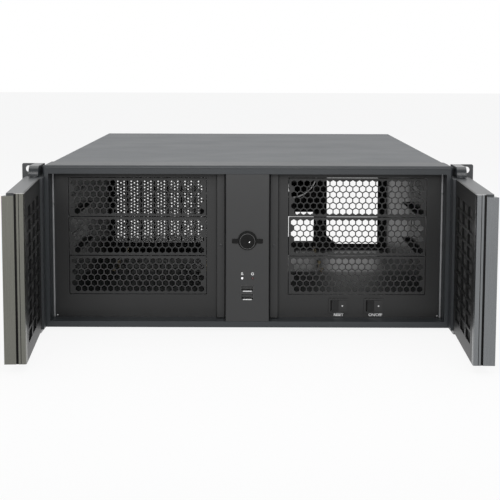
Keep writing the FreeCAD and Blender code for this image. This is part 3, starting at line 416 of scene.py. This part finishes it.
cover_gap = 0.0003
cover_corner = 0.0008
for side_name in ("left", "right"):
    for level in (1, 2, 3):
        name = "bay_cover_%s_%d" % (side_name, level)
        low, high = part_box(name)
        middle = (low + high) / 2
        outer = ((low.x + cover_gap, low.z + cover_gap), (high.x - cover_gap, high.z - cover_gap))
        rim_wall = cover_gap + cover_steel
        inner = ((low.x + rim_wall, low.z + rim_wall), (high.x - rim_wall, high.z - rim_wall))
        vents = []
        for row in range(vent_rows):
            up = middle.z + vent_row_pitch * ((vent_rows - 1) / 2 - row)
            shift = vent_pitch / 4 * (1 if row % 2 else -1)
            for column in range(vent_columns):
                across = middle.x + vent_pitch * (column - (vent_columns - 1) / 2) + shift
                vents.append(ring_of(vent_radius, 6, across, up))
        face = sheet(upright(*outer, cover_corner), vents, cover_steel)
        rim = sheet(upright(*outer, cover_corner), [upright(*inner)], high.y - low.y - cover_steel)
        piece(name + "_sheet", "case", cover_coat,
              [moved(face, 0, low.y, 0), moved(rim, 0, low.y + cover_steel, 0)], stands_for=[name])

# ---------------------------------------------------------------- drive cages
# Folded steel cages behind the covers, three 5.25 inch bays each, with a ledge down both
# walls for every drive. They carry the same black coat.

dress(body_coat, "drive_cage_left", "drive_cage_right")

# ---------------------------------------------------------------- centre column
# A moulded cover between the doors, with a lower strip along each side. The plastic has a
# fine spark-eroded grain; one black screw holds each strip, and above it a thin black sheet on
# the strip's inner edge is painted shade where a clip slot sits.


def moulding(name, level, roughness, grain=1300, depth=0.00002, blue=0.04):
    """Injection-moulded plastic with an even spark-eroded grain."""
    plastic = Finish(name, Specular_IOR_Level=0.45)
    pits = plastic.noise(grain, detail=3)
    flow = plastic.noise(11, detail=2)
    plastic.set("Base Color", plastic.blend(flow, grey(level * 0.85, blue), grey(level * 1.15, blue)))
    plastic.set("Roughness", roughness - 0.04 + 0.08 * pits)
    plastic.bump(pits, depth, 0.5)
    return plastic


column_plastic = moulding("column_plastic", 0.017, 0.4)
strip_plastic = moulding("strip_plastic", 0.012, 0.34)
dress(column_plastic, "column_panel")

# Plain black, used as painted shade for the clip slots.
painted_shade_black = Finish("painted_shade_black", Base_Color=grey(0.003), Roughness=0.9)
strip_gap = 0.0003
strip_screw_height = 0.0897
strip_head_radius = 0.0019
strip_head_height = 0.0008
clip_height = 0.150
clip_half = 0.004
clip_depth = 0.0001
for side_name in ("left", "right"):
    low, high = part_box("column_strip_" + side_name)
    middle = (low.x + high.x) / 2
    strip = sheet(upright((low.x + strip_gap, low.z), (high.x - strip_gap, high.z)), [], high.y - low.y)
    piece("column_strip_%s_cover" % side_name, "case", strip_plastic,
          [moved(strip, 0, low.y, 0)], bevel=0.0007, stands_for=["column_strip_" + side_name])
    screws("strip_screw_" + side_name, "case", black_zinc, strip_head_radius, strip_head_height,
           [(middle, low.y, strip_screw_height)], [(0, -1, 0)])
    # A thin black sheet just proud of the strip: painted shade standing for the slot's dark inside.
    inner = min(low.x, high.x, key=abs)
    away = 1 if middle > 0 else -1
    near, far = sorted((inner + away * 0.0001, inner + away * 0.0012))
    slot_outline = upright((near, clip_height - clip_half), (far, clip_height + clip_half), 0.0005)
    piece("clip_slot_painted_shade_" + side_name, "case", painted_shade_black,
          [moved(sheet(slot_outline, [], 2 * clip_depth), 0, low.y - clip_depth, 0)])

# ---------------------------------------------------------------- lock
# A black die-cast ring with two finger wings, and a rotating core with a keyway. The core's
# rim and its key stud are bare steel: the rim's lighter grey is a painted highlight round the
# core, and the stud's brightness is partly a painted glint in the keyway. Ring and core are
# gloss painted.

gloss_black = Finish("gloss_black_casting", Base_Color=grey(0.0015), Specular_IOR_Level=0.18)
ripple = gloss_black.noise(350, detail=2)
gloss_black.set("Roughness", 0.2 + 0.12 * ripple)
gloss_black.bump(ripple, 0.00002, 0.4)

ring_low, ring_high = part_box("lock_escutcheon")
core_low, core_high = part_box("lock_core")
lock_height = (ring_low.z + ring_high.z) / 2
core_radius = (core_high.z - core_low.z) / 2
column_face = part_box("column_panel")[0].y
core_play = 0.0001
bore = core_radius + core_play
lip = ring_low.y
ring = turned([
    (bore, ring_high.y), (bore, lip + 0.0005), (bore + 0.0002, lip), (bore + 0.0006, lip),
    (bore + 0.0012, lip + 0.0006), (bore + 0.0014, ring_high.y), (bore, ring_high.y)], 72)
hood_rise = 0.0010
hood_radius = bore + 0.0022
hood_front = column_face - 0.0018
hood = sheet(ring_of(hood_radius, 96, 0, hood_rise), [ring_of(bore + 0.0005, 96)], column_face - hood_front)
wing_half = (ring_high.x - ring_low.x) / 2
wing_front = column_face - 0.0016
wing_low = -0.0022
wing_high = 0.0026
wings = []
for side in sides:
    near, far = sorted((side * (hood_radius - 0.0006), side * wing_half))
    wing = sheet(upright((near, wing_low), (far, wing_high), 0.0008), [], column_face - wing_front)
    wings.append(moved(wing, 0, wing_front, lock_height))
piece("lock_ring", "case", gloss_black,
      [moved(ring, 0, 0, lock_height), moved(hood, 0, hood_front, lock_height)] + wings,
      bevel=0.0003, smooth=40, stands_for=["lock_escutcheon"])

keyway_width = 0.0016
keyway_length = 0.009
keyway = upright((-keyway_width / 2, -keyway_length / 2), (keyway_width / 2, keyway_length / 2), 0.0007)
face_depth = 0.0012
face_radius = core_radius - 0.0004
stem_radius = 0.003
stem_start = core_high.y - 0.0033
core_face = sheet(ring_of(face_radius, 72), [keyway], face_depth)
core_barrel = turned([
    (0, core_low.y + face_depth), (face_radius, core_low.y + face_depth), (face_radius, core_low.y),
    (core_radius - 0.0001, core_low.y + 0.0003), (core_radius, core_low.y + 0.0008),
    (core_radius, stem_start), (stem_radius, stem_start), (stem_radius, core_high.y),
    (0, core_high.y)], 72)
piece("lock_core_turned", "lock", gloss_black, [
    moved(core_face, 0, core_low.y, lock_height), moved(core_barrel, 0, 0, lock_height)],
    smooth=40, stands_for=["lock_core"])
# The stud's bright steel is partly a painted glint in the keyway.
stud_steel_painted_glint = Finish("stud_steel_painted_glint", Metallic=1, Base_Color=grey(0.72))
stud_steel_painted_glint.set("Roughness", 0.18 + 0.15 * stud_steel_painted_glint.noise(800))
stud = turned([(0, -0.0007), (0.0006, -0.0005), (0.0009, 0), (0, 0)], 20)
piece("core_stud_painted_glint", "lock", stud_steel_painted_glint, [
    moved(stud, 0.0021, core_low.y, lock_height - 0.0009)], smooth=50)
# The rim's lighter metal is a painted highlight round the core; its tone varies at random.
rim_painted_highlight = Finish("rim_steel_painted_highlight", Metallic=0.7)
rim_highlight_mottle = rim_painted_highlight.noise(700, detail=3)
rim_painted_highlight.set("Base Color", rim_painted_highlight.blend(rim_highlight_mottle, grey(0.05), grey(0.16)))
rim_painted_highlight.set("Roughness", 0.2 + 0.1 * rim_highlight_mottle)
rim = turned([
    (bore - 0.0002, lip - 0.0001), (bore + 0.0003, lip - 0.0001), (bore + 0.0004, lip + 0.0002),
    (bore - 0.0002, lip + 0.0002), (bore - 0.0002, lip - 0.0001)], 72)
piece("lock_rim_painted_highlight", "case", rim_painted_highlight, [moved(rim, 0, 0, lock_height)], smooth=40)
dress(zinc, "lock_cam")

# ---------------------------------------------------------------- sockets, lamps and icons
# Two stacked USB sockets in plated shells with black tongues, and two lamp lenses with
# printed icons above them, all on a small circuit board behind the column.

# One nickel plating in two copies: the shell's dark nickel is painted shade, and the bright nickel of the
# flared lower lip is a painted highlight.
shell_nickel_painted_shade = Finish("nickel_shell_painted_shade", Metallic=1, Base_Color=grey(0.09))
shell_nickel_painted_shade.set("Roughness", 0.3 + 0.15 * shell_nickel_painted_shade.noise(900))
lip_nickel_painted_highlight = Finish("nickel_lip_painted_highlight", Metallic=1, Base_Color=grey(0.55))
lip_nickel_painted_highlight.set("Roughness", 0.25 + 0.15 * lip_nickel_painted_highlight.noise(900))
tongue_plastic = moulding("tongue_plastic", 0.012, 0.45)
shell_wall = 0.0005
shell_back = 0.001
tongue_wall = 0.0012
for level in ("upper", "lower"):
    name = "usb_socket_" + level
    low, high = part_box(name)
    outer = upright((low.x, low.z), (high.x, high.z), 0.0011)
    hollow = upright(
        (low.x + shell_wall, low.z + shell_wall), (high.x - shell_wall, high.z - shell_wall), 0.0007)
    shell = sheet(outer, [hollow], high.y - low.y - shell_back)
    back = sheet(outer, [], shell_back)
    lip_half = (high.x - low.x) / 2 - 0.0022
    flare = sheet(upright((-lip_half, low.z - 0.0003), (lip_half, low.z + 0.0008), 0.0003), [], 0.0006)
    piece(name + "_shell", "case", shell_nickel_painted_shade, [
        moved(shell, 0, low.y, 0), moved(back, 0, high.y - shell_back, 0)], bevel=0.0001, stands_for=[name])
    piece(name + "_lip", "case", lip_nickel_painted_highlight, [moved(flare, 0, low.y - 0.0003, 0)], bevel=0.0001)
    middle = (low.z + high.z) / 2
    tongue = sheet(
        upright((low.x + tongue_wall, middle + 0.0004), (high.x - tongue_wall, middle + 0.0022)), [], 0.0095)
    piece(name + "_tongue", "case", tongue_plastic,
          [moved(tongue, 0, low.y + tongue_wall, 0)], bevel=0.0002)

board_finish = Finish("board_green", Base_Color=(0.03, 0.11, 0.05, 1), Coat_Weight=0.3)
board_finish.set("Roughness", 0.3 + 0.2 * board_finish.noise(500))
dress(board_finish, "front_board")

lens_height = (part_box("led_disk")[0].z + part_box("led_disk")[1].z) / 2
lens_profile = [(0, -0.0006), (0.0006, -0.0005), (0.0009, -0.0003), (0.0011, 0), (0.0011, 0.004), (0, 0.004)]
for name, colour, glow in (
        ("led_disk", (0.85, 0.85, 0.87, 1), 0.6), ("led_power", (0.10, 0.02, 0.022, 1), 0.05)):
    low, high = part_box(name)
    lens = Finish(name + "_lens", Transmission_Weight=0.2, Emission_Color=colour, Emission_Strength=glow)
    frost = lens.noise(1500)
    lens.set("Base Color", lens.blend(frost, colour, tuple(0.8 * part for part in colour[:3]) + (1,)))
    lens.set("Roughness", 0.15 + 0.1 * frost)
    piece(name + "_dome", "case", lens,
          [moved(turned(lens_profile, 24), (low.x + high.x) / 2, column_face, lens_height)],
          smooth=50, stands_for=[name])

ink = Finish("white_ink")
ink_wear = ink.noise(700, detail=3)
ink.set("Base Color", ink.blend(ink_wear, grey(0.7), grey(0.9)))
ink.set("Roughness", 0.5 + 0.1 * ink_wear)
ink_depth = 0.00004
icon_height = 0.062
icon_offset = (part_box("led_power")[0].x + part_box("led_power")[1].x) / 2
disk_half = 0.0011
disk_top = ring_of(disk_half, 20, -icon_offset, icon_height + 0.0006)
disk_body = upright((-icon_offset - disk_half, icon_height - 0.0012),
                    (-icon_offset + disk_half, icon_height + 0.0005))
disk_eye = ring_of(0.0004, 12, -icon_offset, icon_height - 0.0004)
power_ring = ring_of(0.0015, 28, icon_offset, icon_height)
power_hole = ring_of(0.0009, 28, icon_offset, icon_height)
icons = [
    sheet(outline, holes, ink_depth)
    for outline, holes in ((disk_top, []), (disk_body, [disk_eye]), (power_ring, [power_hole]))]
piece("lamp_icons", "case", ink, [moved(icon, 0, column_face - ink_depth, 0) for icon in icons])

# ---------------------------------------------------------------- rocker switches
# Two snap-in rocker switches, moulded in black, with a white dot on each rocker and the
# words RESET and ON/OFF printed in white below them.

switch_plastic = moulding("switch_plastic", 0.008, 0.3)
dress(switch_plastic, "reset_switch_housing", "power_switch_housing", "reset_rocker", "power_rocker")


def lettering(name, body, words, height, place):
    """Words printed flat on a face that looks along -Y."""
    text = bpy.data.curves.new(name, "FONT")
    text.body = words
    text.size = height
    text.align_x = "CENTER"
    text.extrude = ink_depth / 2
    text.offset = height * 0.022
    text.space_character = 0.9
    text.resolution_u = 3
    holder = bpy.data.objects.new(name, text)
    mesh = bpy.data.meshes.new_from_object(holder)
    bpy.data.objects.remove(holder)
    mesh.transform(Matrix.Translation(place) @ Matrix.Rotation(math.pi / 2, 4, "X"))
    piece(name, body, ink, [mesh])


plate_face = plate_low.y
label_height = 0.0044
label_foot = 0.0123
for switch, body, words, aside in (
        ("reset", "reset_button", "RESET", 0.0006), ("power", "power_button", "ON/OFF", 0.0022)):
    low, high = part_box(switch + "_switch_housing")
    middle = (low.x + high.x) / 2
    middle_height = (low.z + high.z) / 2
    dot = sheet(ring_of(0.0008, 16, middle + 0.0042 + aside / 2, middle_height), [], 0.0001)
    piece(switch + "_dot", body, ink, [moved(dot, 0, plate_face - 0.0035, 0)])
    lettering(switch + "_label", "case", words, label_height,
              (middle + aside, plate_face - ink_depth, label_foot))

# ---------------------------------------------------------------- rack ears
# Steel angles riveted to the walls, with open slots for the rack's screws, in a black powder
# coat of their own, lighter than the body's.

ear_coat = powder_coat("ear_powder_coat", 0.045, 0.42)
dress(ear_coat, "rack_ear_left", "rack_ear_right")

# ---------------------------------------------------------------- hinge arms
# Die-cast arms, painted semi-gloss black, that reach forward from the ears and hold each
# door's pins above and below.

arm_paint = powder_coat("arm_semi_gloss", 0.014, 0.25, blue=0.4, depth=0.00004)
for side_name in ("left", "right"):
    dress(arm_paint, "hinge_arm_%s_top" % side_name, "hinge_arm_%s_bottom" % side_name)
dress(zinc, "left_door_pins", "right_door_pins")

# ---------------------------------------------------------------- doors
# Each door is a moulded shell and a pierced inner grille with a foam filter between them,
# closed at the free edge by an extruded and anodised pull strip.

door_paint = moulding("door_plastic", 0.02, 0.36, grain=1000, blue=0.3)
dress(door_paint, "left_door_shell", "right_door_shell")
grille_paint = moulding("grille_plastic", 0.003, 0.4, grain=1000, blue=0.1)
grille_paint.set("Specular IOR Level", 0.2)
dress(grille_paint, "left_door_grille", "right_door_grille")

foam = Finish("filter_foam", Base_Color=grey(0.008), Roughness=0.95)
cells = foam.node("ShaderNodeTexVoronoi", {}, {"Vector": foam.place(), "Scale": 420.0})
foam.set("Base Color", foam.blend(cells, grey(0.003), grey(0.02)))
foam.bump(cells, 0.0008, 1)
dress(foam, "left_door_filter", "right_door_filter")

# Black seal strips lie in each pull strip's channel and groove; their black is partly painted shade in those
# hollows.
seal_rubber_and_shade = Finish("black_rubber_and_painted_shade", Base_Color=grey(0.004), Specular_IOR_Level=0.2)
seal_rubber_and_shade.set("Roughness", 0.7 + 0.2 * seal_rubber_and_shade.noise(600))
door_gap = 0.00105
column_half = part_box("column_panel")[1].x
# Two black seal runs in the strip's channel and groove, their black partly painted shade in
# those hollows: front, back, deep end and near end.
seal_runs = ((-0.0022, -0.0001, 0.0029, 0.0007), (0.0020, 0.0025, 0.0005, 0.0001))
for side, side_name, open_angle, edge_tone_painted_light in (
        (-1, "left", 86.4, (0.17, 0.17, 0.15, 1)), (1, "right", 88.0, (0.2, 0.208, 0.215, 1))):
    # One anodised metal on both pull strips in two tones: the darker, warmer left one and the lighter, bluer
    # right one are painted light and reflection.
    anodised = Finish(side_name + "_edge_anodised_painted_light", Metallic=0.92)
    draw_lines = anodised.noise(60, detail=3, stretch=(60, 60, 0.4))
    haze = anodised.noise(20, detail=2)
    dull = tuple(0.75 * part for part in edge_tone_painted_light[:3]) + (1,)
    anodised.set("Base Color", anodised.blend(draw_lines, dull, edge_tone_painted_light))
    anodised.set("Roughness", 0.2 + 0.08 * draw_lines + 0.05 * haze)
    anodised.bump(draw_lines, 0.00002, 0.3)
    dress(anodised, side_name + "_door_edge")

    low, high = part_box(side_name + "_door_edge")
    pins_low, pins_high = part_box(side_name + "_door_pins")
    pivot = (pins_low + pins_high) / 2
    door_end = abs(pivot.x) - column_half - door_gap
    opened = Matrix.Translation((pivot.x, pivot.y, 0)) @ Matrix.Rotation(
        side * math.radians(open_angle), 4, "Z")
    seals = []
    for front, back, depth, sunk in seal_runs:
        near, far = sorted((-side * (door_end - depth), -side * (door_end - sunk)))
        seal = sheet(upright((near, low.z + 0.0001), (far, high.z - 0.0001)), [], back - front)
        seal.transform(opened @ Matrix.Translation((0, front, 0)))
        seals.append(seal)
    piece(side_name + "_door_seals_and_painted_shade", side_name + "_door", seal_rubber_and_shade, seals)

# ---------------------------------------------------------------- expansion slots
# Seven plated brackets, each pierced with three columns of small round vents and bent over
# a ledge in the coated pan, where one screw holds it.

dress(body_coat, "slot_frame")
bracket_steel = Finish("bracket_plated_steel", Metallic=1)
spangle = bracket_steel.noise(160, detail=3)
bracket_steel.set("Base Color", bracket_steel.blend(spangle, grey(0.42), grey(0.56)))
bracket_steel.set("Roughness", 0.3 + 0.18 * spangle)
bracket_sheet = 0.0009
dot_pitch = 0.0047
dot_radius = 0.00105
dot_columns = 3
dot_low = 0.0185
dot_high = 0.1265
slot_heads = []
for index in range(1, 8):
    name = "slot_cover_%d" % index
    low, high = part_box(name)
    middle = (low.x + high.x) / 2
    dots = []
    for row in range(int((dot_high - dot_low) / dot_pitch)):
        for column in range(dot_columns):
            across = middle + dot_pitch * (column - (dot_columns - 1) / 2)
            up = dot_low + dot_pitch * (row + 0.5 * (column % 2) + 0.5)
            dots.append(ring_of(dot_radius, 10, across, up))
    plate = sheet(upright((low.x, low.z), (high.x, high.z), 0.0006), dots, bracket_sheet)
    tab_outline = upright((low.x, high.z - bracket_sheet), (high.x, high.z))
    tab = sheet(tab_outline, [], high.y - low.y - bracket_sheet)
    piece(name + "_pressed", "case", bracket_steel,
          [moved(plate, 0, low.y, 0), moved(tab, 0, low.y + bracket_sheet, 0)], stands_for=[name])
    slot_heads.append((middle, (low.y + high.y) / 2 + 0.0015, high.z))
screws("slot_screw_heads", "case", zinc, head_radius, head_height, slot_heads,
       [(0, 0, 1)] * len(slot_heads), ["slot_screws"])

# ---------------------------------------------------------------- fans
# Two 80 mm fans at the rear wall: moulded frames with four arms and a hub, rotors with
# seven swept blades, and four screws through the wall into each frame.

fan_plastic = moulding("fan_plastic", 0.012, 0.38)
dress(fan_plastic, "fan_frame_left", "fan_frame_right")
rotor_plastic = moulding("rotor_plastic", 0.012, 0.3)
hub_radius = 0.016
blade_tip = 0.0368
blade_count = 7
blade_sheet = 0.0013
blade_root = hub_radius - 0.0005
blade_start = 0.004
blade_depth = 0.012
axle_radius = 0.0015
axle_length = 0.0031


def blade(turn, front, rise, steps=8):
    """One swept blade about the Y axis: it leans from its front edge back to its rear edge."""
    shape = bmesh.new()
    rows = []
    for out in range(steps + 1):
        reach = out / steps
        radius = blade_root + reach * (blade_tip - blade_root)
        width = math.radians(50 - 3 * reach)
        start = turn + math.radians(16) * reach * reach
        row = []
        for along in range(steps + 1):
            share = along / steps
            angle = start + width * share
            camber = 0.0018 * math.sin(math.pi * share)
            row.append(shape.verts.new((
                radius * math.cos(angle), front + rise * share - camber, radius * math.sin(angle))))
        rows.append(row)
    for inner, outer in zip(rows, rows[1:]):
        for step in range(steps):
            shape.faces.new((inner[step], inner[step + 1], outer[step + 1], outer[step]))
    bmesh.ops.recalc_face_normals(shape, faces=shape.faces)
    bmesh.ops.solidify(shape, geom=shape.faces[:], thickness=blade_sheet)
    mesh = bpy.data.meshes.new("blade")
    shape.to_mesh(mesh)
    shape.free()
    return mesh


rear_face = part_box("rear_panel")[1].y
fan_screw_reach = 0.03575
fan_head_radius = 0.0031
fan_head_height = 0.0014
fan_head_proud = 0.0001
fan_head_foot = rear_face - fan_head_height + fan_head_proud
fan_screw_places = []
for side_name in ("left", "right"):
    rotor_low, rotor_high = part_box("fan_rotor_" + side_name)
    low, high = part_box("fan_frame_" + side_name)
    middle = (low + high) / 2
    hub_end = rotor_high.y - axle_length
    rotor = [turned([
        (0, rotor_low.y), (hub_radius - 0.001, rotor_low.y), (hub_radius, rotor_low.y + 0.001),
        (hub_radius, hub_end), (axle_radius, hub_end), (axle_radius, rotor_high.y), (0, rotor_high.y)], 48)]
    for index in range(blade_count):
        rotor.append(blade(2 * math.pi * index / blade_count, rotor_low.y + blade_start, blade_depth))
    piece("fan_rotor_%s_moulded" % side_name, side_name + "_fan", rotor_plastic,
          [moved(mesh, middle.x, 0, middle.z) for mesh in rotor], smooth=40,
          stands_for=["fan_rotor_" + side_name])
    for across in (-fan_screw_reach, fan_screw_reach):
        for up in (-fan_screw_reach, fan_screw_reach):
            fan_screw_places.append((middle.x + across, fan_head_foot, middle.z + up))
screws("fan_screw_heads", "case", black_zinc, fan_head_radius, fan_head_height, fan_screw_places,
       [(0, 1, 0)] * len(fan_screw_places))

# ---------------------------------------------------------------- standoffs
# Nine turned brass pillars pressed into the tray's floor, which carry the mainboard.

brass = Finish("turned_brass", Metallic=1)
tool_marks = brass.noise(1200, detail=2, stretch=(1, 1, 6))
brass.set("Base Color", brass.blend(tool_marks, (0.2, 0.17, 0.11, 1), (0.34, 0.29, 0.2, 1)))
brass.set("Roughness", 0.22 + 0.15 * tool_marks)
dress(brass, "standoffs")

# ---------------------------------------------------------------- floor, light and camera
# A plain pale floor under soft studio light: a broad box overhead, one in front, a small one
# near the doors and a weak even surround. The camera and all shiny surfaces see it as white,
# and the floor keeps a share of its own shading, so that it holds the case's shadow.

floor_mesh = bpy.data.meshes.new("floor")
floor_reach = 12
floor_level = -0.0005
floor_corners = [
    (across * floor_reach, along * floor_reach, floor_level)
    for across, along in ((-1, -1), (1, -1), (1, 1), (-1, 1))]
floor_mesh.from_pydata(floor_corners, [], [(0, 1, 2, 3)])
floor = bpy.data.objects.new("floor", floor_mesh)
bpy.context.scene.collection.objects.link(floor)
floor_paper = Finish("floor_paper", Base_Color=grey(0.8), Roughness=0.9)
floor_mesh.materials.append(floor_paper.material)
white = (1, 1, 1, 1)


def looks(wiring, share):
    """How far the camera, and any shiny or clear surface, sees plain white in place of the light."""
    seen, glossy, clear = [
        wiring.node("ShaderNodeLightPath", {}, {}, output="Is %s Ray" % ray)
        for ray in ("Camera", "Glossy", "Transmission")]
    return (seen + glossy + clear) * share


paper = Signal(floor_paper, floor_paper.shader.outputs[0])
glow = floor_paper.node("ShaderNodeEmission", {}, {"Color": white, "Strength": 1.0})
mixed = floor_paper.node("ShaderNodeMixShader", {}, {0: looks(floor_paper, 0.9), 1: paper, 2: glow})
floor_paper.join(floor_paper.tree.nodes["Material Output"].inputs["Surface"], mixed)

world = bpy.data.worlds.new("studio")
bpy.context.scene.world = world
world.use_nodes = True
studio = Wiring(world.node_tree)
surround = studio.node("ShaderNodeBackground", {}, {"Color": (0.93, 0.96, 1.0, 1), "Strength": 0.255})
backdrop = studio.node("ShaderNodeBackground", {}, {"Color": white, "Strength": 1.0})
studio.join(world.node_tree.nodes["World Output"].inputs["Surface"], studio.node(
    "ShaderNodeMixShader", {}, {0: looks(studio, 1.0), 1: surround, 2: backdrop}))


def soft_box(name, place, target, width, depth, power):
    """A rectangular soft box that looks at a point."""
    light = bpy.data.lights.new(name, "AREA")
    light.shape = "RECTANGLE"
    light.size = width
    light.size_y = depth
    light.energy = power
    box = bpy.data.objects.new(name, light)
    box.location = place
    box.rotation_euler = (Vector(target) - Vector(place)).to_track_quat("-Z", "Y").to_euler()
    box.visible_camera = False
    bpy.context.scene.collection.objects.link(box)


middle = (cad_low + cad_high) / 2
soft_box("overhead_box", (0, 0.5, 1.8), middle, 2.0, 1.6, 16)
soft_box("front_box", (-0.1, -2.4, 0.75), middle, 1.6, 0.5, 19.5)
soft_box("near_box", (0.05, -0.6, 0.5), (0, -0.1, 0.18), 0.9, 0.12, 1.9)

camera_data = bpy.data.cameras.new("camera")
camera_data.sensor_width = 36
camera_data.lens = 104.33
camera = bpy.data.objects.new("camera", camera_data)
camera.location = (0.00274, -1.54917, 0.28518)
looking_down = 7.4
pitch = math.radians(90 - looking_down)
roll = math.radians(0.167)
camera.rotation_euler = (Matrix.Rotation(pitch, 3, "X") @ Matrix.Rotation(roll, 3, "Z")).to_euler()
bpy.context.scene.collection.objects.link(camera)
bpy.context.scene.camera = camera
bpy.context.scene.view_settings.view_transform = "Standard"
